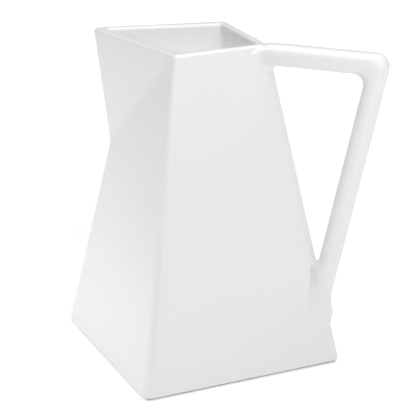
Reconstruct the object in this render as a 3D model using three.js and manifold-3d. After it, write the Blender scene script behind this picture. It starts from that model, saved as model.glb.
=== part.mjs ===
// A white glazed ceramic pitcher, about two litres.
//
// The body is a square frustum standing with one upright corner towards -X and one towards +X.
// Above a waist, the -X corner flares out into a folded pouring spout. At the +X corner an angular
// handle runs level from the rim, turns at an elbow and comes down to the corner edge near the foot.
// The body and the handle are two castings, luted together with slip at two joints.
//
// Millimetres, +Z up, table at z = 0. X runs from the spout to the handle, Y across the pitcher.

import * as THREE from "three";
import { mergeVertices } from "three/addons/utils/BufferGeometryUtils.js";
import Module from "manifold-3d";

const wasm = await Module();
wasm.setup();

// ---- Driving dimensions ----

// body
const bodyHeight = 230; // table to rim
const baseHalfDiagonal = 107.7; // axis to a corner at the table, before the corner is rounded
const rimHalfDiagonal = 49.9; // axis to a corner at the rim, before the corner is rounded
const baseCornerRadius = 6; // of the upright corners in plan
const rimCornerRadius = 3;
const wall = 6.5; // thickness, measured level
const insideCornerRadius = 3;
const rimRound = 2.6; // on both edges of the rim
const bottomEdgeRound = 1.2; // where the wall turns under to the foot

// floor and foot
const floorThickness = 7;
const footHeight = 1.6;
const footInset = 2; // foot's outer face, in from the wall's
const footWidth = 13; // reaches under the wall and the edge of the floor
const footEdgeRound = 0.5;

// spout
const waistHeight = 143.4; // where the corner starts to flare
const tipReach = 84.4; // axis to the spout's point at the rim
const tipRadius = 3.5; // of the point in plan
const insideTipRadius = 2;

// handle
const armRise = 1.2; // arm's top above the rim
const armHeight = 15.6;
const gripDepth = 13.8; // across the grip, seen from the side
const handleWidth = 16.4; // in Y
const handleEdgeRound = 5.4;
const elbowReach = 128.1; // axis of the body to where the arm's and the grip's centre lines meet
const gripFootHeight = 60.3; // where the grip's centre line meets the corner edge
const elbowOuterRadius = 9.5;
const elbowInnerRadius = 7;

// slip joints
const slipEdge = 0.7; // thickness where the slip runs out on the handle
const upperSlipLength = 7; // along the arm
const upperSlipDrop = 7; // under the arm, down the corner edge
const upperSlipWidth = 3; // beside the arm, along the body's faces
const chinDrop = 17; // from where the grip's outer face meets the corner edge down to the joint's end
const chinRise = 9; // from there up to where the joint stands out the most
const chinStand = 4.4; // how far it stands out from the corner edge
const chinWidth = 2.2; // how far it stands out beside the grip

const jointGap = 0.3; // kept between separate pieces

// ---- Derived places ----

const rimHeight = bodyHeight;
const wallBottom = footHeight + jointGap;
const armTop = rimHeight + armRise;
const armBottom = armTop - armHeight;
const armCentreHeight = armTop - armHeight / 2;

// the body's outline: axis to a sharp corner, and the radius that rounds it
const share = (z) => z / bodyHeight;
const halfDiagonal = (z) => THREE.MathUtils.lerp(baseHalfDiagonal, rimHalfDiagonal, share(z));
const cornerRadius = (z) => THREE.MathUtils.lerp(baseCornerRadius, rimCornerRadius, share(z));

// the grip: a straight bar from the elbow to its foot on the corner edge
const gripLean =
  (elbowReach - halfDiagonal(gripFootHeight)) / (armCentreHeight - gripFootHeight);
const gripTilt = Math.atan(gripLean);
const gripAxisReach = (z) => elbowReach - gripLean * (armCentreHeight - z);
const gripHalfLevel = gripDepth / 2 / Math.cos(gripTilt); // half the grip's depth, measured level
const cornerLean = (baseHalfDiagonal - rimHalfDiagonal) / bodyHeight;
const gripMeetsCorner = (offset) => gripFootHeight - offset / (gripLean + cornerLean);
const lowerSlipTop = gripMeetsCorner(-gripHalfLevel);
const chinHeight = gripMeetsCorner(gripHalfLevel) - chinDrop;

const glaze = { color: 0xececea, roughness: 0.22, metalness: 0 };
const bareClay = { color: 0xd9d3c8, roughness: 0.9, metalness: 0 };

// ---- Outlines and lofts ----

// A closed outline through corners (Vector2, anticlockwise), each rounded with an arc of its radius.
function roundedOutline(corners, radii, arcSteps = 5) {
  const outline = [];
  corners.forEach((corner, i) => {
    const before = corners[(i + corners.length - 1) % corners.length];
    const after = corners[(i + 1) % corners.length];
    const toBefore = before.clone().sub(corner).normalize();
    const toAfter = after.clone().sub(corner).normalize();
    const halfAngle = Math.acos(THREE.MathUtils.clamp(toBefore.dot(toAfter), -1, 1)) / 2;
    const inward = toBefore.clone().add(toAfter).normalize();
    const centre = corner.clone().addScaledVector(inward, radii[i] / Math.sin(halfAngle));
    const start = toBefore.multiplyScalar(radii[i] / Math.tan(halfAngle)).add(corner).sub(centre);
    const turn = Math.PI - 2 * halfAngle;
    for (let k = 0; k <= arcSteps; k++)
      outline.push(start.clone().rotateAround(new THREE.Vector2(), (turn * k) / arcSteps).add(centre));
  });
  return outline;
}

// A closed skin over level or upright rings with equal numbers of points, capped at both ends.
function loft(rings) {
  const count = rings[0].length;
  const triangles = [];
  for (let i = 0; i + 1 < rings.length; i++)
    for (let j = 0; j < count; j++) {
      const k = (j + 1) % count;
      triangles.push([rings[i][j], rings[i][k], rings[i + 1][k]]);
      triangles.push([rings[i][j], rings[i + 1][k], rings[i + 1][j]]);
    }
  const middle = (ring) =>
    ring.reduce((sum, p) => sum.add(p), new THREE.Vector3()).divideScalar(ring.length);
  const first = rings[0];
  const last = rings[rings.length - 1];
  for (let j = 0; j < count; j++) {
    const k = (j + 1) % count;
    triangles.push([middle(first), first[k], first[j]]);
    triangles.push([middle(last), last[j], last[k]]);
  }
  return new THREE.BufferGeometry().setFromPoints(triangles.flat());
}

// ---- Solids ----

function solidOf(geometry) {
  const bare = geometry.clone();
  bare.deleteAttribute("normal");
  bare.deleteAttribute("uv");
  const merged = mergeVertices(bare, 1e-4);
  return new wasm.Manifold(
    new wasm.Mesh({
      numProp: 3,
      vertProperties: new Float32Array(merged.attributes.position.array),
      triVerts: new Uint32Array(merged.index.array),
    }),
  );
}

function meshOf(name, solid, finish) {
  const { numProp, vertProperties, triVerts } = solid.getMesh();
  const points = new THREE.InterleavedBuffer(vertProperties, numProp);
  const geometry = new THREE.BufferGeometry();
  geometry.setAttribute("position", new THREE.InterleavedBufferAttribute(points, 3, 0));
  geometry.setIndex(new THREE.BufferAttribute(triVerts, 1));
  const flat = geometry.toNonIndexed();
  flat.computeVertexNormals();
  const mesh = new THREE.Mesh(flat, new THREE.MeshStandardMaterial(finish));
  mesh.name = name;
  return mesh;
}

// ---- Body ----

// The body's square outline at height z, moved in by inset (or out, when it is negative).
function squareRing(z, inset) {
  const reach = halfDiagonal(z) - inset * Math.SQRT2;
  const radius = Math.max(cornerRadius(z) - inset, insideCornerRadius);
  const corners = [
    new THREE.Vector2(-reach, 0),
    new THREE.Vector2(0, -reach),
    new THREE.Vector2(reach, 0),
    new THREE.Vector2(0, reach),
  ];
  return roundedOutline(corners, [radius, radius, radius, radius]).map(
    (p) => new THREE.Vector3(p.x, p.y, z),
  );
}

// The spout's kite outline at height z: two folded facets meet at its point, and the back follows
// the body's two rear faces.
const facetAngle = Math.atan2(rimHalfDiagonal, tipReach);
const waistReach = halfDiagonal(waistHeight);
const spoutReach = (z) =>
  waistReach + ((z - waistHeight) * (tipReach - waistReach)) / (rimHeight - waistHeight);

function spoutRing(z, inset) {
  const back = halfDiagonal(z) - inset * Math.SQRT2;
  const point = spoutReach(z) - inset / Math.sin(facetAngle);
  const slope = Math.tan(facetAngle);
  const sideX = (back - point * slope) / (1 + slope);
  const sideY = back - sideX;
  const radius = Math.max(cornerRadius(z) - inset, insideCornerRadius);
  const corners = [
    new THREE.Vector2(-point, 0),
    new THREE.Vector2(sideX, -sideY),
    new THREE.Vector2(back, 0),
    new THREE.Vector2(sideX, sideY),
  ];
  const pointRadius = Math.max(tipRadius - inset, insideTipRadius);
  return roundedOutline(corners, [pointRadius, radius, radius, radius]).map(
    (p) => new THREE.Vector3(p.x, p.y, z),
  );
}

// A quarter round from an upright face to a level one: [height, inset] pairs, going up.
function quarterRound(radius, steps = 4) {
  return Array.from({ length: steps + 1 }, (_, k) => {
    const angle = (k / steps) * (Math.PI / 2);
    return [radius * Math.sin(angle), radius * (1 - Math.cos(angle))];
  });
}

const spoutStart = waistHeight - 12; // hidden inside the body, which covers the spout's lower end

// The body as if it were filled solid, with its rim and its bottom edge rounded.
function filledBody() {
  const turnUnder = quarterRound(bottomEdgeRound)
    .reverse()
    .map(([rise, inset]) => [wallBottom + bottomEdgeRound - rise, inset]);
  const roundOver = quarterRound(rimRound).map(([rise, inset]) => [
    rimHeight - rimRound + rise,
    inset,
  ]);
  const square = [...turnUnder, ...roundOver].map(([z, inset]) => squareRing(z, inset));
  const spout = [[spoutStart, 0], ...roundOver].map(([z, inset]) => spoutRing(z, inset));
  return solidOf(loft(square)).add(solidOf(loft(spout)));
}

// The hollow, open at the bottom and the top, its mouth flared by the rim's inner round.
function hollow() {
  const below = wallBottom - 5;
  const above = rimHeight + 2;
  const flare = quarterRound(rimRound).map(([rise, inset]) => [
    rimHeight - rimRound + rise,
    wall - inset,
  ]);
  const mouth = [...flare, [above, wall - rimRound]];
  const square = [[below, wall], ...mouth].map(([z, inset]) => squareRing(z, inset));
  const spout = [[spoutStart, wall], ...mouth].map(([z, inset]) => spoutRing(z, inset));
  return solidOf(loft(square)).add(solidOf(loft(spout)));
}

// Everything on the spout's side of the sloping seam that runs from the waist up to the two side
// corners of the rim. The seam stops short of those corners, so that they stay whole.
function spoutSide(shift) {
  const seamTop = -(rimCornerRadius + rimRound);
  const seamSlope = (seamTop + waistReach) / (rimHeight - waistHeight);
  const levelShift = shift * Math.hypot(1, seamSlope);
  const seamAt = (z) => -waistReach + seamSlope * (z - waistHeight) + levelShift;
  const low = waistHeight - 40;
  const high = rimHeight + 10;
  const far = -tipReach - baseHalfDiagonal;
  const outline = new THREE.Shape([
    new THREE.Vector2(far, low),
    new THREE.Vector2(seamAt(low), low),
    new THREE.Vector2(seamAt(high), high),
    new THREE.Vector2(far, high),
  ]);
  return solidOf(uprightSlab(outline, 2 * baseHalfDiagonal));
}

// An outline drawn in X and Z, given a thickness in Y, the same to each side of y = 0.
function uprightSlab(outline, thickness, edgeRound = 0, bevelSegments = 4) {
  const slab = new THREE.ExtrudeGeometry(outline, {
    depth: thickness - 2 * edgeRound,
    curveSegments: 6,
    bevelEnabled: edgeRound > 0,
    bevelThickness: edgeRound,
    bevelSize: edgeRound,
    bevelOffset: -edgeRound,
    bevelSegments,
  });
  return slab.translate(0, 0, edgeRound - thickness / 2).rotateX(Math.PI / 2);
}

function buildBody() {
  const shell = filledBody().subtract(hollow());
  return [
    meshOf("body_wall", shell.subtract(spoutSide(jointGap)), glaze),
    meshOf("spout", shell.intersect(spoutSide(0)), glaze),
  ];
}

function buildFloor() {
  const inset = wall + jointGap;
  const top = wallBottom + floorThickness;
  const slab = loft([squareRing(wallBottom, inset), squareRing(top, inset)]);
  return meshOf("floor", solidOf(slab), glaze);
}

function buildFoot() {
  const sides = quarterRound(footEdgeRound)
    .reverse()
    .map(([rise, inset]) => [footEdgeRound - rise, footInset + inset]);
  sides.push([footHeight, footInset]);
  const outside = loft(sides.map(([z, inset]) => squareRing(z, inset)));
  const inner = footInset + footWidth;
  const inside = loft([squareRing(-1, inner), squareRing(footHeight + 1, inner)]);
  return meshOf("foot_ring", solidOf(outside).subtract(solidOf(inside)), bareClay);
}

// ---- Handle ----

// The bent bar, made bigger all round by grow. Both ends run on into the body.
function handleBar(grow) {
  const halfLevel = gripHalfLevel + grow / Math.cos(gripTilt);
  const top = armTop + grow;
  const bottom = armBottom - grow;
  const end = chinHeight / 2;
  const outerAt = (z) => gripAxisReach(z) + halfLevel;
  const innerAt = (z) => gripAxisReach(z) - halfLevel;
  const arcSteps = 5;
  const corners = [
    new THREE.Vector2(0, bottom),
    new THREE.Vector2(innerAt(bottom), bottom),
    new THREE.Vector2(innerAt(end), end),
    new THREE.Vector2(outerAt(end), end),
    new THREE.Vector2(outerAt(top), top),
    new THREE.Vector2(0, top),
  ];
  const turn = (i) => elbowTurn(corners[i - 1], corners[i], corners[i + 1]);
  const outline = [
    corners[0],
    ...turn(1)(Math.max(elbowInnerRadius - grow, 1), arcSteps),
    corners[2],
    corners[3],
    ...turn(4)(elbowOuterRadius + grow, arcSteps),
    corners[5],
  ];
  const round = handleEdgeRound + grow;
  return solidOf(uprightSlab(new THREE.Shape(outline), handleWidth + 2 * grow, round));
}

// The arc of a given radius that rounds the turn from before, through corner, to after.
function elbowTurn(before, corner, after) {
  const toBefore = before.clone().sub(corner).normalize();
  const toAfter = after.clone().sub(corner).normalize();
  const halfAngle = Math.acos(toBefore.dot(toAfter)) / 2;
  const inward = toBefore.clone().add(toAfter).normalize();
  const turn = (Math.PI - 2 * halfAngle) * -Math.sign(toBefore.cross(toAfter));
  return (radius, steps) => {
    const centre = corner.clone().addScaledVector(inward, radius / Math.sin(halfAngle));
    const start = toBefore
      .clone()
      .multiplyScalar(radius / Math.tan(halfAngle))
      .add(corner)
      .sub(centre);
    return Array.from({ length: steps + 1 }, (_, k) =>
      start.clone().rotateAround(new THREE.Vector2(), (turn * k) / steps).add(centre),
    );
  };
}

// The body's filled outline, run on past the rim and the table and made bigger by grow. It cuts
// what is luted to the body.
function bodyAround(grow) {
  const below = -footHeight - 20;
  const above = armTop + 20;
  return solidOf(loft([squareRing(below, -grow), squareRing(above, -grow)]));
}

// Everything on the arm's side of the mitre, which halves the elbow's angle.
function armSide(shift) {
  const angle = (Math.PI / 2 + gripTilt) / 2; // from level, up and outwards
  const along = new THREE.Vector2(Math.cos(angle), Math.sin(angle));
  const middle = new THREE.Vector2(elbowReach - shift / Math.sin(angle), armCentreHeight);
  const length = 4 * armHeight;
  const outline = new THREE.Shape([
    middle.clone().addScaledVector(along, length),
    new THREE.Vector2(0, armTop + length),
    new THREE.Vector2(0, armBottom - length),
    middle.clone().addScaledVector(along, -length),
  ]);
  return solidOf(uprightSlab(outline, 4 * handleWidth));
}

function buildHandle() {
  const bar = handleBar(0).subtract(bodyAround(jointGap));
  return [
    meshOf("handle_upper_arm", bar.intersect(armSide(jointGap)), glaze),
    meshOf("handle_grip", bar.subtract(armSide(0)), glaze),
  ];
}

// ---- Slip joints ----

// A rounded rectangle in Y and Z at a place along X, as one ring of a loft.
function uprightRing(x, halfY, low, high, radius) {
  const corners = [
    new THREE.Vector2(-halfY, low),
    new THREE.Vector2(halfY, low),
    new THREE.Vector2(halfY, high),
    new THREE.Vector2(-halfY, high),
  ];
  return roundedOutline(corners, [radius, radius, radius, radius]).map(
    (p) => new THREE.Vector3(x, p.x, p.y),
  );
}

// The same in X and Y at height z.
function levelRing(z, halfY, near, far, radius) {
  const corners = [
    new THREE.Vector2(near, -halfY),
    new THREE.Vector2(far, -halfY),
    new THREE.Vector2(far, halfY),
    new THREE.Vector2(near, halfY),
  ];
  return roundedOutline(corners, [radius, radius, radius, radius]).map(
    (p) => new THREE.Vector3(p.x, p.y, z),
  );
}

const slipAround = (sleeve) =>
  solidOf(sleeve).subtract(bodyAround(jointGap)).subtract(handleBar(jointGap));

// Slip round the root of the arm, level with the arm's shoulders, run down the corner edge below it.
function buildUpperSlip() {
  const corner = halfDiagonal(armBottom);
  const runOut = corner + upperSlipLength;
  const hidden = corner - handleWidth; // inside the body
  const grow = (x, full, fullAt) =>
    slipEdge + ((full - slipEdge) * (runOut - x)) / (runOut - fullAt);
  const rings = [hidden, runOut].map((x) =>
    uprightRing(
      x,
      handleWidth / 2 + grow(x, upperSlipWidth, corner - handleWidth / 2),
      armBottom - grow(x, upperSlipDrop, corner),
      armTop - handleEdgeRound,
      handleEdgeRound,
    ),
  );
  return meshOf("upper_slip_joint", slipAround(loft(rings)), glaze);
}

// Slip round the foot of the grip: it thickens down to a rounded chin on the corner edge.
function buildLowerSlip() {
  const halfY = handleWidth / 2;
  const near = gripAxisReach(chinHeight) - 4 * gripHalfLevel; // inside the body
  const chinTop = chinHeight + chinRise;
  const roundedCorner = halfDiagonal(chinTop) - (Math.SQRT2 - 1) * cornerRadius(chinTop);
  const fullest = roundedCorner + chinStand;
  const rings = quarterRound(1).map(([rise, inset]) => {
    const z = chinHeight + chinRise * inset;
    const far = fullest - chinStand * (1 - rise);
    return levelRing(z, halfY + chinWidth * rise, near, far, handleEdgeRound);
  });
  const gripOuter = gripAxisReach(lowerSlipTop) + gripHalfLevel;
  rings.push(
    levelRing(lowerSlipTop, halfY + slipEdge, near, gripOuter + slipEdge, handleEdgeRound),
  );
  return meshOf("lower_slip_joint", slipAround(loft(rings)), glaze);
}

// ---- Pitcher ----

const pitcher = new THREE.Group();
pitcher.add(...buildBody(), buildFloor(), buildFoot(), ...buildHandle());
pitcher.add(buildUpperSlip(), buildLowerSlip());

// The origin is on the table, under the middle of the whole pitcher.
const middle = new THREE.Box3().setFromObject(pitcher).getCenter(new THREE.Vector3());
pitcher.position.set(-middle.x, -middle.y, 0);

export default pitcher;
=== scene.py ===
"""A white glazed ceramic pitcher: a square body leaning in to a folded spout, and an angular handle."""

import math

import bmesh
import bpy
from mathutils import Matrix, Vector


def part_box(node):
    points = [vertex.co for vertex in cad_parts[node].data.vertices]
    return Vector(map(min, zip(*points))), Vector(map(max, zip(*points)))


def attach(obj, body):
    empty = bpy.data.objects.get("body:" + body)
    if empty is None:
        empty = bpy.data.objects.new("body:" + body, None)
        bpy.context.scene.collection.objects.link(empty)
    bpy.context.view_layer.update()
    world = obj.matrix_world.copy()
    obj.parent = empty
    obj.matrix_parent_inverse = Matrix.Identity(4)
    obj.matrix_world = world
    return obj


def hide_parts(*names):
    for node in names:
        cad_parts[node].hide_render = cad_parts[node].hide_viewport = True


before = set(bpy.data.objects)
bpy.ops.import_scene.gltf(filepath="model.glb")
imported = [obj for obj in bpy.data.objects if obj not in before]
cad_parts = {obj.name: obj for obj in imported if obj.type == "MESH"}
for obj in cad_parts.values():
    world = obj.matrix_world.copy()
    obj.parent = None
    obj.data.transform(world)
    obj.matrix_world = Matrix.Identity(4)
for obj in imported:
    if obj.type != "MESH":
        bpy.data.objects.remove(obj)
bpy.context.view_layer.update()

MM = 0.001
ROOT_TWO = math.sqrt(2)
QUARTER_TURN = math.pi / 2
SAME_PLACE = 1e-5  # metres; points closer than this lie in one place
NEVER_ZERO = 1e-9  # keeps a width above nothing

# ---- the cast body, read from the frame ----
wall_low, wall_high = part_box("body_wall")
slab_low, slab_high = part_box("floor")
foot_low, foot_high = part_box("foot_ring")
arm_low, arm_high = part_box("handle_upper_arm")
_, grip_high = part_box("handle_grip")

AXIS_X = (slab_low.x + slab_high.x) / 2
RIM_Z = wall_high.z
WALL_Z = wall_low.z
LEAN = 0.2513  # how far a corner edge comes in for each unit of height
CORNER_ROUND = 6 * MM  # at the base; it narrows with the body
CORNER_PULL = ROOT_TWO - 1  # how far rounding takes a right-angled corner in, for each unit of radius
BOTTOM_ROUND = 1.2 * MM
WALL = 6.5 * MM
RIM_ROUND = 2.6 * MM
INSIDE_ROUND = 3 * MM
WIDEST_Z = WALL_Z + BOTTOM_ROUND
BASE_HALF = wall_high.y + CORNER_ROUND * (1 - WIDEST_Z / RIM_Z / 2) * CORNER_PULL + LEAN * WIDEST_Z
RIM_HALF = BASE_HALF - LEAN * RIM_Z
COVE = 5 * MM  # between the floor and the wall, inside

# ---- the folded spout ----
WAIST_Z = 143.4 * MM
TIP_REACH = 84.4 * MM
TIP_ROUND = 6.2 * MM  # before the fold stretches the corner to a point
INSIDE_TIP_ROUND = 3.5 * MM
FOLD_SOFTNESS = 0.06  # half the width of the soft fold, as a share of its distance from the side corners

# ---- how finely the body is cut ----
BODY_ROWS = 12
GRID_CUTS = (10 * MM, 16 * MM, 34 * MM, 54 * MM)
CUT_SNAP = 0.4 * MM  # a cut takes over a point that lies this close to it
FOLD_STEPS = 3
CORNER_STEPS = 8
RIM_STEPS = 6
BOTTOM_STEPS = 4
COVE_STEPS = 5
CLOSING_RINGS = 4
LOOP_BAND = 0.1 * MM  # how far above or below its height a level loop is looked for
MITRE_LIMIT = 0.3  # keeps the rim's offset within bounds where the loop turns sharply

# ---- the foot ring ----
FOOT_WIDTH = 13 * MM
FOOT_ROUND = 0.6 * MM
FOOT_STEPS = 3
FOOT_CORNER_ROUND = 4 * FOOT_ROUND
FOOT_CORNER_STEPS = 6
FOOT_LET_IN = 0.3 * MM  # how far the ring's top reaches up into the body
SHARP_TURN = 1  # radians; the edges within a flat or rounded face turn less

# ---- the handle ----
HALF_WIDTH = (arm_high.y - arm_low.y) / 2
ARM_TOP = arm_high.z
ARM_HEIGHT = 15.6 * MM
GRIP_LEAN = 0.213  # how far the grip comes in for each unit it goes down
GRIP_DEPTH = 14.8 * MM  # measured level
GRIP_SLANT = math.sqrt(1 + GRIP_LEAN * GRIP_LEAN)  # length along the grip for each unit of height
ELBOW_OUTSIDE = 9.5 * MM
ELBOW_INSIDE = 7 * MM
ELBOW_X = grip_high.x - AXIS_X - ELBOW_OUTSIDE  # centre of the outer elbow
ELBOW_Z = ARM_TOP - ELBOW_OUTSIDE
ROOT_X = 38 * MM  # where the arm starts, inside the corner of the wall
ROOT_DIP = 1.6 * MM  # how far the arm's top drops to meet the rim
DIP_LEVEL = 4 * MM  # the dip stays full this far from the root
DIP_LENGTH = 12 * MM  # and runs out over this length
JOINT_TOP = 92 * MM
CHIN_TOP = 39 * MM
CHIN_FOOT = 28.5 * MM
CHIN_STAND = 4.1 * MM  # how far the chin stands off the body's corner
CHIN_BLEND = 3.2 * MM
CHIN_SINK = 1.2 * MM  # how far the chin's foot goes under the corner
CHIN_SINK_LENGTH = 3 * MM
HANDLE_END = CHIN_FOOT - 1.5 * MM
END_WIDTH_SQUARED = 0.02  # the last section's width, squared, as a share of the handle's
BURIED = 11 * MM  # how deep the inside of the lower joint lies under the corner
UNDER_SKIN = 3.5 * MM
WEB_GAP = 3.4 * MM  # the web of slip begins where the grip comes this close to the corner
WEB_CLOSED = 0.6 * MM
WEB_TOP = 74 * MM
SPREAD_Z = 44 * MM

# ---- the slip in the joints ----
ARM_JOINT_Z = WEB_TOP + 40 * MM  # above this the handle meets the body in the arm's joint
ARM_FILLET = 4.5 * MM
WEB_FILLET = 3.6 * MM
CHIN_FILLET = 5 * MM
TUCKED_TURN = 0.65 * math.pi  # past a quarter turn the slip's edge runs on under the body's skin
TUCKED_SHARE = 0.5  # how fast it goes under there, as a share of how fast it came down
DEEP_SHARE = 0.12  # what is left of the handle's depth further in
FLANK_SHARE = 1.15  # so that the flanks lie down fully, and the outside stays proud

# ---- how finely the handle is cut ----
ARM_STEPS = 34
ARM_CROWDING = 1.7  # above 1, so that the arm's sections crowd together at the root
ELBOW_STEPS = 14
GRIP_STEPS = 24
JOINT_STEPS = 52
SECTION_POINTS = 96
SECTION_POWER = 2.1  # 2 would be an oval, and a large number a rectangle
LEAST_EDGE = 0.002 * MM  # shorter edges are closed up

# ---- the stage ----
TABLE_HALF = 4  # metres
# the painted shade at the far left of the table fades along this direction
TOWARDS_RIGHT = (0.89, 0.473, 0)  # across the table, from its far left
CAMERA_TURN = math.radians(20.573)  # from the front, round to the right
CAMERA_RISE = math.radians(25.442)
CAMERA_DISTANCE = 1.23999
CAMERA_PAN = math.radians(-0.3414)
CAMERA_TILT = math.radians(-4.4361)
SENSOR_WIDTH = 36
LENS = 143.475
ROOM_LIGHT = 0.20

# where a colour mix keeps its sockets
MIX_SHARE = 0
MIX_COLOURS = (6, 7)
MIX_RESULT = 2


def half_at(height):
    """Distance from the axis to the sharp corner edge of the body, at a height."""
    return BASE_HALF - LEAN * height


def points_of(made):
    """The points that a mesh step made."""
    return [g for g in made["geom"] if isinstance(g, bmesh.types.BMVert)]


def edges_of(made):
    """The edges that a mesh step made."""
    return [g for g in made["geom"] if isinstance(g, bmesh.types.BMEdge)]


def cut(bm, place, direction):
    """Cuts every face of the mesh on a plane."""
    bmesh.ops.bisect_plane(
        bm, geom=bm.verts[:] + bm.edges[:] + bm.faces[:], dist=CUT_SNAP,
        plane_co=place, plane_no=direction)


def round_edges(bm, edges, radius, steps):
    """Rounds edges with a radius, in a number of steps."""
    bmesh.ops.bevel(
        bm, geom=edges, offset=radius, offset_type="OFFSET", segments=steps, profile=0.5,
        affect="EDGES", clamp_overlap=False, material=-1, loop_slide=True)


def finish_piece(bm, name, nodes, material):
    """Turns a finished mesh into a piece of the pitcher, at the body's axis."""
    bmesh.ops.translate(bm, verts=bm.verts, vec=(AXIS_X, 0, 0))
    bmesh.ops.recalc_face_normals(bm, faces=bm.faces)
    for face in bm.faces:
        face.smooth = True
    mesh = bpy.data.meshes.new(name)
    bm.to_mesh(mesh)
    bm.free()
    mesh.materials.append(material)
    piece = bpy.data.objects.new(name, mesh)
    bpy.context.scene.collection.objects.link(piece)
    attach(piece, "root")
    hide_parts(*nodes)


# ---------------------------------------------------------------- body
class Shape:
    """One skin of the cast wall: its size at the base, its spout and how round its corners are."""

    def __init__(self, base_half, waist_z, tip_reach, corner_round, tip_round):
        self.base_half = base_half
        self.waist_z = waist_z
        self.waist_reach = base_half - LEAN * waist_z
        self.fold_slope = self.waist_reach / (RIM_Z - waist_z)
        rim_half = base_half - LEAN * RIM_Z
        self.fold_pull = tip_reach / rim_half - 1
        self.corner_round = corner_round
        self.tip_round = tip_round

    def taper(self, height):
        """The skin's size at a height, as a share of its size at the base."""
        return 1 - LEAN * height / self.base_half

    def radius(self, height, at_tip):
        """The radius of an upright corner, which narrows upwards and widens again along the spout's tip."""
        narrowing = self.corner_round * (1 - height / RIM_Z / 2)
        spout_share = max(0, (height - self.waist_z) / (RIM_Z - self.waist_z))
        return narrowing + at_tip * spout_share * (self.tip_round - self.corner_round / 2)

    def fold_depth(self, x, height):
        """How far a point lies beyond the spout's fold, which softens from the side corners to the waist."""
        depth = -x - self.fold_slope * (RIM_Z - height)
        soft = FOLD_SOFTNESS * max(-x, 0) + NEVER_ZERO
        if depth <= -soft:
            return 0
        if depth < soft:
            return (depth + soft) ** 2 / (4 * soft)
        return depth


def outer_shape():
    """The outer skin."""
    return Shape(BASE_HALF, WAIST_Z, TIP_REACH, CORNER_ROUND, TIP_ROUND)


def inner_shape():
    """The inner skin, whose faces and spout panels lie one wall inside the outer ones."""
    outer = outer_shape()
    waist = Vector((-outer.waist_reach, 0, WAIST_Z))
    tip = Vector((-TIP_REACH, 0, RIM_Z))
    side = Vector((0, -RIM_HALF, RIM_Z))
    panel = (tip - waist).cross(side - waist).normalized()
    tip_inset = WALL / panel.x
    face_inset = WALL * ROOT_TWO * math.sqrt(1 + LEAN * LEAN / 2)
    spout_slope = (TIP_REACH - outer.waist_reach) / (RIM_Z - WAIST_Z)
    waist_rise = (tip_inset - face_inset) / (LEAN + spout_slope)
    return Shape(
        BASE_HALF - face_inset, WAIST_Z + waist_rise, TIP_REACH - tip_inset,
        INSIDE_ROUND, INSIDE_TIP_ROUND)


def scale_rows(bm, share_at):
    """Scales every point about the axis by a share that depends on its height."""
    for vert in bm.verts:
        share = share_at(vert.co.z)
        vert.co.x *= share
        vert.co.y *= share


def round_corner(bm, shape, at_x, at_y):
    """Rounds one upright corner of a straight prism, so that it tapers to the finished skin's radius."""
    tip = at_x < 0

    def share_at(height):
        return shape.taper(height) * shape.corner_round / shape.radius(height, tip)

    def on_corner(vert):
        return vert.co.x * at_x + vert.co.y * at_y > shape.base_half - SAME_PLACE

    corner = [e for e in bm.edges if all(on_corner(v) for v in e.verts)]
    scale_rows(bm, share_at)
    round_edges(bm, corner, shape.corner_round, CORNER_STEPS)
    scale_rows(bm, lambda height: 1 / share_at(height))


def open_skin(shape, low):
    """The four leaning faces and the folded spout, as one open skin from a height up to the rim."""
    bm = bmesh.new()
    bmesh.ops.create_circle(bm, cap_ends=False, segments=4, radius=shape.base_half)
    bmesh.ops.translate(bm, verts=bm.verts, vec=(0, 0, low))
    raised = bmesh.ops.extrude_edge_only(bm, edges=bm.edges[:])
    rise = RIM_Z - RIM_ROUND - low
    bmesh.ops.translate(bm, verts=points_of(raised), vec=(0, 0, rise))
    for row in range(1, BODY_ROWS):
        cut(bm, (0, 0, low + rise * row / BODY_ROWS), (0, 0, 1))
    for at_x, at_y in ((1, 0), (-1, 0), (0, 1), (0, -1)):
        round_corner(bm, shape, at_x, at_y)
    for across in GRID_CUTS:
        for side in (-1, 1):
            cut(bm, (side * across, 0, 0), (1, 0, 0))
            cut(bm, (0, side * across, 0), (0, 1, 0))
    scale_rows(bm, shape.taper)
    for step in range(-FOLD_STEPS, FOLD_STEPS + 1):
        slope = shape.fold_slope / (1 - FOLD_SOFTNESS * step / FOLD_STEPS)
        cut(bm, (0, 0, RIM_Z), (1, 0, -slope))
    for vert in bm.verts:
        vert.co.x -= shape.fold_pull * shape.fold_depth(vert.co.x, vert.co.z)
    return bm


def add_skin(bm, skin):
    """Joins a finished skin to the mesh."""
    spare = bpy.data.meshes.new("skin")
    skin.to_mesh(spare)
    skin.free()
    bm.from_mesh(spare)
    bpy.data.meshes.remove(spare)


def open_edges(bm, height):
    """The open border edges that lie level at a height."""
    low = height - LOOP_BAND
    high = height + LOOP_BAND
    return [e for e in bm.edges if e.is_boundary and all(low < v.co.z < high for v in e.verts)]


def inner_tip_reach():
    """How far the inner skin's spout reaches from the axis at the rim, measured level."""
    return TIP_REACH - WALL / math.sin(math.atan2(RIM_HALF, TIP_REACH))


def is_outside(edge, height):
    """True for an edge of the outer skin at the rim, and False for one of the inner skin."""
    middle = (edge.verts[0].co + edge.verts[1].co) / 2
    wall_middle = half_at(height) - WALL / ROOT_TWO
    if middle.x > 0:
        return abs(middle.y) + middle.x > wall_middle
    panel_middle = (TIP_REACH + inner_tip_reach()) / 2
    return abs(middle.y) / wall_middle - middle.x / panel_middle > 1


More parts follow.
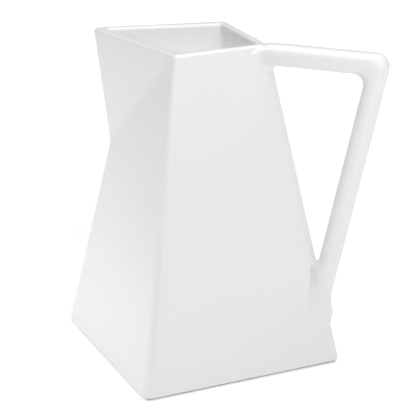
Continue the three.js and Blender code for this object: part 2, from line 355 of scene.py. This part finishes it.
def loop_directions(loop):
    """For each point of a level loop, the direction towards the axis that offsets both its edges evenly."""
    neighbours = {}
    for edge in loop:
        for vert in edge.verts:
            neighbours.setdefault(vert, []).append(edge.other_vert(vert).co)
    directions = {}
    for vert, (before, after) in neighbours.items():
        came = (vert.co - before).xy.normalized()
        goes = (after - vert.co).xy.normalized()
        along = (came + goes).normalized()
        across = Vector((-along.y, along.x, 0))
        if across.x * vert.co.x + across.y * vert.co.y > 0:
            across.negate()
        directions[vert] = across / max(MITRE_LIMIT, along.dot(came))
    return directions


def quarter_step(step, steps):
    """The angles at which one step of a rounded quarter turn begins and ends."""
    return QUARTER_TURN * step / steps, QUARTER_TURN * (step + 1) / steps


def round_over(bm, loop, radius, steps, towards_axis):
    """Carries an open rim loop round a quarter circle, upwards and over the wall."""
    directions = loop_directions(loop)
    for step in range(steps):
        before, after = quarter_step(step, steps)
        rise = radius * (math.sin(after) - math.sin(before))
        over = radius * (math.cos(before) - math.cos(after)) * (1 if towards_axis else -1)
        made = bmesh.ops.extrude_edge_only(bm, edges=loop)
        raised = set(points_of(made))
        moved = {}
        for vert, direction in directions.items():
            above = next(e.other_vert(vert) for e in vert.link_edges if e.other_vert(vert) in raised)
            moved[above] = direction
        for vert, direction in moved.items():
            vert.co += direction * over + Vector((0, 0, rise))
        directions = moved
        loop = edges_of(made)
    return loop


def round_under(bm, loop, radius, steps):
    """Carries an open bottom loop round a quarter circle, down and inwards."""
    reach = max(abs(v.co.y) for e in loop for v in e.verts)
    for step in range(steps):
        before, after = quarter_step(step, steps)
        made = bmesh.ops.extrude_edge_only(bm, edges=loop)
        drop = radius * (math.sin(after) - math.sin(before))
        share_before = 1 - radius * (1 - math.cos(before)) / reach
        share = (1 - radius * (1 - math.cos(after)) / reach) / share_before
        bmesh.ops.translate(bm, verts=points_of(made), vec=(0, 0, -drop))
        bmesh.ops.scale(bm, verts=points_of(made), vec=(share, share, 1))
        loop = edges_of(made)
    return loop


def close_bottom(bm, loop):
    """Draws a bottom loop in to the axis in a few rings and closes it."""
    for step in range(CLOSING_RINGS):
        made = bmesh.ops.extrude_edge_only(bm, edges=loop)
        share = (CLOSING_RINGS - step) / (CLOSING_RINGS - step + 1)
        bmesh.ops.scale(bm, verts=points_of(made), vec=(share, share, 1))
        loop = edges_of(made)
    bmesh.ops.contextual_create(bm, geom=loop)


def make_body(glaze):
    """The cast shell: outer skin, inner skin, rounded rim and closed floor, as one watertight piece."""
    outer_low = WALL_Z + BOTTOM_ROUND
    inner_low = slab_high.z + COVE
    rim_low = RIM_Z - RIM_ROUND
    bm = bmesh.new()
    add_skin(bm, open_skin(outer_shape(), outer_low))
    inner = open_skin(inner_shape(), inner_low)
    bmesh.ops.reverse_faces(inner, faces=inner.faces)
    add_skin(bm, inner)
    rim = open_edges(bm, rim_low)
    outside_rim = [e for e in rim if is_outside(e, rim_low)]
    inside_rim = [e for e in rim if not is_outside(e, rim_low)]
    outside_rim = round_over(bm, outside_rim, RIM_ROUND, RIM_STEPS, towards_axis=True)
    inside_rim = round_over(bm, inside_rim, RIM_ROUND, RIM_STEPS, towards_axis=False)
    bmesh.ops.bridge_loops(bm, edges=outside_rim + inside_rim)
    close_bottom(bm, round_under(bm, open_edges(bm, outer_low), BOTTOM_ROUND, BOTTOM_STEPS))
    close_bottom(bm, round_under(bm, open_edges(bm, inner_low), COVE, COVE_STEPS))
    finish_piece(bm, "pitcher_body", ("body_wall", "spout", "floor"), glaze)


def make_foot(clay):
    """The low bare ring that the body stands on, set in from its edge and eased along its lower edges."""
    bm = bmesh.new()
    outside = foot_high.y + FOOT_CORNER_ROUND * CORNER_PULL
    bmesh.ops.create_circle(bm, cap_ends=True, segments=4, radius=outside)
    bmesh.ops.inset_region(
        bm, faces=bm.faces[:], thickness=FOOT_WIDTH, use_boundary=True, use_even_offset=True)
    inside = outside - FOOT_WIDTH
    middle = [f for f in bm.faces if all(abs(v.co.x) + abs(v.co.y) < inside for v in f.verts)]
    bmesh.ops.delete(bm, geom=middle, context="FACES")
    bmesh.ops.translate(bm, verts=bm.verts, vec=(0, 0, foot_low.z))
    raised = bmesh.ops.extrude_face_region(bm, geom=bm.faces[:])
    bmesh.ops.translate(bm, verts=points_of(raised), vec=(0, 0, WALL_Z + FOOT_LET_IN - foot_low.z))
    upright = [e for e in bm.edges if abs(e.verts[0].co.z - e.verts[1].co.z) > SAME_PLACE]
    round_edges(bm, upright, FOOT_CORNER_ROUND, FOOT_CORNER_STEPS)
    low = [e for e in bm.edges if all(v.co.z < foot_low.z + SAME_PLACE for v in e.verts)]
    low = [e for e in low if e.calc_face_angle(0) > SHARP_TURN]
    round_edges(bm, low, FOOT_ROUND, FOOT_STEPS)
    finish_piece(bm, "foot_ring_bare", ("foot_ring",), clay)


# ---------------------------------------------------------------- handle
def ease(share):
    """Rises smoothly from 0 to 1."""
    share = min(1, max(0, share))
    return share * share * (3 - 2 * share)


def smooth_larger(one, other, blend):
    """The larger of two lengths, with a soft change from one to the other."""
    share = max(0, min(1, 0.5 + (one - other) / (2 * blend)))
    return other + (one - other) * share + blend * share * (1 - share)


def handle_corner_surface(y, height):
    """How far out the body's surface lies beside the handle's corner, with the corner and rim rounded."""
    radius = CORNER_ROUND * (1 - height / RIM_Z / 2)
    over_rim = min(1, max(0, (height - RIM_Z + RIM_ROUND) / RIM_ROUND))
    surface = half_at(height) - RIM_ROUND * (1 - math.sqrt(1 - over_rim * over_rim)) * ROOT_TWO
    if abs(y) >= radius / ROOT_TWO:
        return surface - abs(y)
    return surface - radius * ROOT_TWO + math.sqrt(radius * radius - y * y)


def grip_line(height):
    """The straight outside of the grip, out from the axis."""
    return ELBOW_X + ELBOW_OUTSIDE * GRIP_SLANT - GRIP_LEAN * (ELBOW_Z - height)


def grip_outside(height):
    """The outside of the grip down to its chin, where it follows the corner a little proud of it."""
    stand = CHIN_STAND * ease((height - CHIN_FOOT) / (CHIN_TOP - CHIN_FOOT))
    sink = CHIN_SINK * ease((CHIN_FOOT + CHIN_SINK_LENGTH - height) / CHIN_SINK_LENGTH)
    chin = handle_corner_surface(0, height) + stand - sink
    return smooth_larger(grip_line(height), chin, CHIN_BLEND)


def grip_inside(height):
    """The inside of the grip, which a web of slip joins to the corner where the two come close."""
    line = grip_line(height) - GRIP_DEPTH
    surface = handle_corner_surface(0, height)
    web = ease((WEB_GAP - (line - surface)) / (WEB_GAP - WEB_CLOSED))
    buried = UNDER_SKIN + (BURIED - UNDER_SKIN) * ease((WEB_TOP - height) / (WEB_TOP - SPREAD_Z))
    return line + (surface - buried - line) * web


def inner_elbow():
    """The centre of the inner elbow, out from the axis and up."""
    height = ARM_TOP - ARM_HEIGHT - ELBOW_INSIDE
    return grip_line(height) - GRIP_DEPTH - ELBOW_INSIDE * GRIP_SLANT, height


def arm_stations():
    """The arm's sections, from its root in the rim corner out to the elbow."""
    inside_x, _ = inner_elbow()
    stations = []
    for step in range(ARM_STEPS):
        along = (step / ARM_STEPS) ** ARM_CROWDING
        dip = ROOT_DIP * ease(1 - (along * (ELBOW_X - ROOT_X) - DIP_LEVEL) / DIP_LENGTH)
        inside = (ROOT_X + (inside_x - ROOT_X) * along, ARM_TOP - ARM_HEIGHT)
        outside = (ROOT_X + (ELBOW_X - ROOT_X) * along, ARM_TOP - dip)
        stations.append((inside, outside, HALF_WIDTH))
    return stations


def elbow_stations():
    """The elbow's sections, from the level arm round to the slant of the grip."""
    inside_x, inside_z = inner_elbow()
    turn_end = -math.atan(GRIP_LEAN)
    stations = []
    for step in range(ELBOW_STEPS + 1):
        angle = QUARTER_TURN + (turn_end - QUARTER_TURN) * step / ELBOW_STEPS
        across, up = math.cos(angle), math.sin(angle)
        inside = (inside_x + ELBOW_INSIDE * across, inside_z + ELBOW_INSIDE * up)
        outside = (ELBOW_X + ELBOW_OUTSIDE * across, ELBOW_Z + ELBOW_OUTSIDE * up)
        stations.append((inside, outside, HALF_WIDTH))
    return stations


def grip_stations(elbow_end):
    """The grip's sections, from the elbow's last one down to the top of the joint."""
    (_, top_inside), (_, top_outside), _ = elbow_end
    stations = []
    for step in range(1, GRIP_STEPS):
        along = step / GRIP_STEPS
        in_z = top_inside + (JOINT_TOP - top_inside) * along
        out_z = top_outside + (JOINT_TOP - top_outside) * along
        stations.append(((grip_inside(in_z), in_z), (grip_outside(out_z), out_z), HALF_WIDTH))
    return stations


def joint_stations():
    """The lower joint's level sections, which narrow towards the foot of the chin."""
    stations = []
    for step in range(JOINT_STEPS + 1):
        height = JOINT_TOP + (HANDLE_END - JOINT_TOP) * step / JOINT_STEPS
        narrowing = max(0, (CHIN_TOP - height) / (CHIN_TOP - HANDLE_END))
        width = HALF_WIDTH * math.sqrt(max(END_WIDTH_SQUARED, 1 - narrowing * narrowing))
        stations.append(((grip_inside(height), height), (grip_outside(height), height), width))
    return stations


def handle_stations():
    """Every section from the rim corner to the chin: inside (x, z), outside (x, z) and half width."""
    stations = arm_stations() + elbow_stations()
    return stations + grip_stations(stations[-1]) + joint_stations()


def section_point(station, angle):
    """A point on the handle's rounded section at one station."""
    (in_x, in_z), (out_x, out_z), width = station
    across, aside = math.cos(angle), math.sin(angle)
    across = math.copysign(abs(across) ** (2 / SECTION_POWER), across)
    aside = math.copysign(abs(aside) ** (2 / SECTION_POWER), aside)
    return Vector(((in_x + out_x) / 2 + (out_x - in_x) / 2 * across, width * aside,
                   (in_z + out_z) / 2 + (out_z - in_z) / 2 * across))


def fillet_at(height):
    """How far the slip reaches at a height: in the arm's joint, along the web, or round the chin."""
    if height > ARM_JOINT_Z:
        return ARM_FILLET
    return WEB_FILLET + (CHIN_FILLET - WEB_FILLET) * ease((WEB_TOP - height) / (WEB_TOP - SPREAD_Z))


def flow_onto_body(bm):
    """Lays the handle's skin out on the body in a hollow curve where they meet, as slip does in a joint."""
    bm.normal_update()
    moves = []
    for vert in bm.verts:
        reach = fillet_at(vert.co.z)
        starts = reach * ROOT_TWO
        out = vert.co.x - handle_corner_surface(vert.co.y, vert.co.z)
        if out > starts:
            continue
        deeper = max(0, -UNDER_SKIN - out) * DEEP_SHARE
        turn = min(TUCKED_TURN, QUARTER_TURN * (starts - out) / (starts + UNDER_SKIN))
        out = max(out, -UNDER_SKIN)
        aside = Vector((0, vert.normal.y, min(vert.normal.z, 0)))
        laid_out = starts * (1 - math.sin(turn))
        if turn > QUARTER_TURN:
            laid_out *= -TUCKED_SHARE
        out += (laid_out - out) * min(1, aside.length * FLANK_SHARE) - deeper
        moves.append((vert, aside * reach * (1 - math.cos(turn)), out))
    for vert, move, out in moves:
        vert.co += move
        vert.co.x = handle_corner_surface(vert.co.y, vert.co.z) + out


def make_handle(glaze):
    """The handle as one rounded bar: level arm, elbow, leaning grip and the chin on the body's corner."""
    bm = bmesh.new()
    stations = handle_stations()
    ring = bmesh.ops.create_circle(bm, cap_ends=True, segments=SECTION_POINTS, radius=1)["verts"]
    angles = [math.atan2(v.co.y, v.co.x) for v in ring]
    for vert, angle in zip(ring, angles):
        vert.co = section_point(stations[0], angle)
    loop = bm.edges[:]
    for station in stations[1:]:
        made = bmesh.ops.extrude_edge_only(bm, edges=loop)
        raised = set(points_of(made))
        ring = [next(e.other_vert(v) for e in v.link_edges if e.other_vert(v) in raised) for v in ring]
        for vert, angle in zip(ring, angles):
            vert.co = section_point(station, angle)
        loop = edges_of(made)
    bmesh.ops.contextual_create(bm, geom=loop)
    bmesh.ops.recalc_face_normals(bm, faces=bm.faces)
    flow_onto_body(bm)
    bmesh.ops.dissolve_degenerate(bm, dist=LEAST_EDGE, edges=bm.edges)
    nodes = ("handle_upper_arm", "handle_grip", "upper_slip_joint", "lower_slip_joint")
    finish_piece(bm, "pitcher_handle", nodes, glaze)


# ---------------------------------------------------------------- materials
class Shading:
    """A material's nodes, with short ways to add the patterns that its finish is made of."""

    def __init__(self, name):
        self.material = bpy.data.materials.new(name)
        self.material.use_nodes = True
        self.nodes = self.material.node_tree.nodes
        self.links = self.material.node_tree.links
        self.shader = self.nodes["Principled BSDF"]
        self.place = self.nodes.new("ShaderNodeTexCoord").outputs["Object"]

    def noise(self, scale, detail=2.0):
        """A cloudy pattern through the whole object, finer as the scale grows."""
        pattern = self.nodes.new("ShaderNodeTexNoise")
        pattern.inputs["Scale"].default_value = scale
        pattern.inputs["Detail"].default_value = detail
        self.links.new(self.place, pattern.inputs["Vector"])
        return pattern.outputs["Fac"]

    def measure(self, operation, direction=(0, 0, 0)):
        """A number measured from the place: its distance from the middle, or how far along a direction."""
        measured = self.nodes.new("ShaderNodeVectorMath")
        measured.operation = operation
        measured.inputs[1].default_value = direction
        self.links.new(self.place, measured.inputs[0])
        return measured.outputs["Value"]

    def less(self, value, taken):
        """One number with another taken away."""
        left = self.nodes.new("ShaderNodeMath")
        left.operation = "SUBTRACT"
        self.links.new(value, left.inputs[0])
        self.links.new(taken, left.inputs[1])
        return left.outputs["Value"]

    def spread(self, value, low, high, from_low=0.3, from_high=0.7):
        """Stretches a pattern between two numbers."""
        ranged = self.nodes.new("ShaderNodeMapRange")
        ranged.inputs["From Min"].default_value = from_low
        ranged.inputs["From Max"].default_value = from_high
        ranged.inputs["To Min"].default_value = low
        ranged.inputs["To Max"].default_value = high
        self.links.new(value, ranged.inputs["Value"])
        return ranged.outputs["Result"]

    def blend(self, share, one, other):
        """A colour between two others, by a pattern."""
        mixed = self.nodes.new("ShaderNodeMix")
        mixed.data_type = "RGBA"
        self.links.new(share, mixed.inputs[MIX_SHARE])
        for place, colour in zip(MIX_COLOURS, (one, other)):
            if isinstance(colour, tuple):
                mixed.inputs[place].default_value = (*colour, 1)
            else:
                self.links.new(colour, mixed.inputs[place])
        return mixed.outputs[MIX_RESULT]

    def relief(self, height, depth, strength, under=None):
        """Raises and sinks the surface by a pattern, over another relief if there is one."""
        bump = self.nodes.new("ShaderNodeBump")
        bump.inputs["Distance"].default_value = depth
        bump.inputs["Strength"].default_value = strength
        self.links.new(height, bump.inputs["Height"])
        if under:
            self.links.new(under, bump.inputs["Normal"])
        return bump.outputs["Normal"]

    def set_surface(self, **values):
        """Gives the surface its constants and its patterns, by the names of the shader's sockets."""
        for name, value in values.items():
            socket = self.shader.inputs[name.replace("_", " ")]
            if isinstance(value, bpy.types.NodeSocket):
                self.links.new(value, socket)
            else:
                socket.default_value = value


def glaze_material():
    """Gloss over white slip: pooled a little unevenly, with faint waves and pinholes from the dipping."""
    glaze = Shading("white_glaze")
    pooling = glaze.spread(glaze.noise(9, detail=0), 0, 1, from_low=0.2, from_high=0.8)
    colour = glaze.blend(pooling, (0.818, 0.818, 0.812), (0.838, 0.838, 0.834))
    pinholes = glaze.spread(glaze.noise(700, detail=0), 0, 1, from_low=0.12, from_high=0.17)
    colour = glaze.blend(pinholes, (0.74, 0.735, 0.72), colour)
    waves = glaze.relief(glaze.noise(14, detail=0), depth=1 * MM, strength=0.05)
    skin = glaze.relief(glaze.noise(240, detail=1), depth=0.05 * MM, strength=0.05, under=waves)
    sheen = glaze.spread(glaze.noise(30), 0.29, 0.36)
    glaze.set_surface(Base_Color=colour, Normal=skin, Roughness=sheen, IOR=1.5,
                      Coat_Weight=0.3, Coat_Roughness=0.1)
    return glaze.material


def bare_clay_material():
    """Unglazed fired clay, sandy to the touch, wiped with a sponge before firing."""
    clay = Shading("bare_clay")
    tone = clay.spread(clay.noise(60, detail=4), 0, 1)
    colour = clay.blend(tone, (0.50, 0.46, 0.40), (0.60, 0.55, 0.48))
    grog = clay.spread(clay.noise(1400, detail=1), 0, 1, from_low=0.62, from_high=0.70)
    colour = clay.blend(grog, colour, (0.34, 0.30, 0.25))
    wiped = clay.relief(clay.noise(120, detail=3), depth=0.3 * MM, strength=0.3)
    sandy = clay.relief(clay.noise(1100, detail=3), depth=0.15 * MM, strength=0.5, under=wiped)
    dry = clay.spread(clay.noise(300), 0.82, 0.95)
    clay.set_surface(Base_Color=colour, Normal=sandy, Roughness=dry)
    return clay.material


def table_material():
    """A plain white sweep that glows more with distance, and less at the far left and near the foot: painted
    light, with painted shade at the far left and a painted contact shadow round the foot.
    """
    table = Shading("white_table")
    distance = table.measure("LENGTH")
    rightward = table.measure("DOT_PRODUCT", TOWARDS_RIGHT)
    # painted light: the table glows, more the further it lies from the pitcher
    glow = table.spread(distance, 0.46, 0.86, from_low=0.25, from_high=1.2)
    # painted shade: the glow is held back at the far left
    painted_shade_far_left = table.spread(rightward, 0.26, 0, from_low=-0.45, from_high=-0.235)
    # painted contact shadow: the glow is held back round the foot
    painted_contact_shadow = table.spread(distance, 0.06, 0, from_low=0.09, from_high=0.17)
    strength = table.less(table.less(glow, painted_shade_far_left), painted_contact_shadow)
    table.set_surface(Base_Color=(0.7, 0.7, 0.7, 1), Roughness=0.9,
                      Emission_Color=(1, 1, 1, 1), Emission_Strength=strength)
    return table.material


# ---------------------------------------------------------------- stage
def make_table():
    """The plain pale surface that the pitcher stands on."""
    mesh = bpy.data.meshes.new("table")
    bm = bmesh.new()
    bmesh.ops.create_grid(bm, x_segments=1, y_segments=1, size=TABLE_HALF)
    bm.to_mesh(mesh)
    bm.free()
    floor = bpy.data.objects.new("table", mesh)
    bpy.context.scene.collection.objects.link(floor)
    mesh.materials.append(table_material())


def outward(turn, rise):
    """The direction that points from the pitcher to a turn round it and a rise above the table."""
    level = math.cos(rise)
    return Vector((math.sin(turn) * level, -math.cos(turn) * level, math.sin(rise)))


def make_camera():
    """The camera, from the front and a little to the right, looking down."""
    lens_data = bpy.data.cameras.new("camera")
    lens_data.sensor_width = SENSOR_WIDTH
    lens_data.lens = LENS
    camera = bpy.data.objects.new("camera", lens_data)
    bpy.context.scene.collection.objects.link(camera)
    camera.location = outward(CAMERA_TURN, CAMERA_RISE) * CAMERA_DISTANCE + Vector((AXIS_X, 0, 0))
    pitch = QUARTER_TURN - (CAMERA_RISE + CAMERA_TILT)
    camera.rotation_euler = (pitch, 0, CAMERA_TURN + CAMERA_PAN)
    bpy.context.scene.camera = camera


def area_light(name, place, aim, size, power, hidden=False):
    """A rectangular lamp. A hidden one gives light, and neither it nor its mirror image is seen."""
    lamp = bpy.data.lights.new(name, "AREA")
    lamp.shape = "RECTANGLE"
    lamp.size, lamp.size_y = size
    lamp.energy = power
    light = bpy.data.objects.new(name, lamp)
    light.location = place
    light.rotation_euler = (Vector(aim) - Vector(place)).to_track_quat("-Z", "Y").to_euler()
    light.visible_camera = not hidden
    light.visible_glossy = not hidden
    bpy.context.scene.collection.objects.link(light)


def make_room():
    """The even light of the room itself."""
    world = bpy.data.worlds.new("white_room")
    world.use_nodes = True
    background = world.node_tree.nodes["Background"]
    background.inputs["Color"].default_value = (1, 1, 1, 1)
    background.inputs["Strength"].default_value = ROOM_LIGHT
    bpy.context.scene.world = world


def make_lamps():
    """Two soft studio lamps, with a low one for the left face and a small one in the hollow."""
    area_light("overhead_softbox", place=(0.05, 0.0, 1.3), aim=(0, 0, 0.1), size=(1.2, 1.2), power=11.5)
    area_light("side_softbox", place=(0.46, -0.46, 0.64), aim=(0.02, 0, 0.17), size=(0.5, 0.5), power=2.25)
    area_light("low_reflector", place=(-0.31, -0.19, 0.07), aim=(-0.05, -0.05, 0.03),
               size=(0.25, 0.12), power=0.30, hidden=True)
    area_light("mouth_fill", place=(0, 0, 0.10), aim=(0, 0, 0.3),
               size=(0.06, 0.06), power=0.062, hidden=True)


glaze = glaze_material()
make_body(glaze)
make_handle(glaze)
make_foot(bare_clay_material())
make_table()
make_camera()
make_room()
make_lamps()
bpy.context.scene.view_settings.view_transform = "Standard"
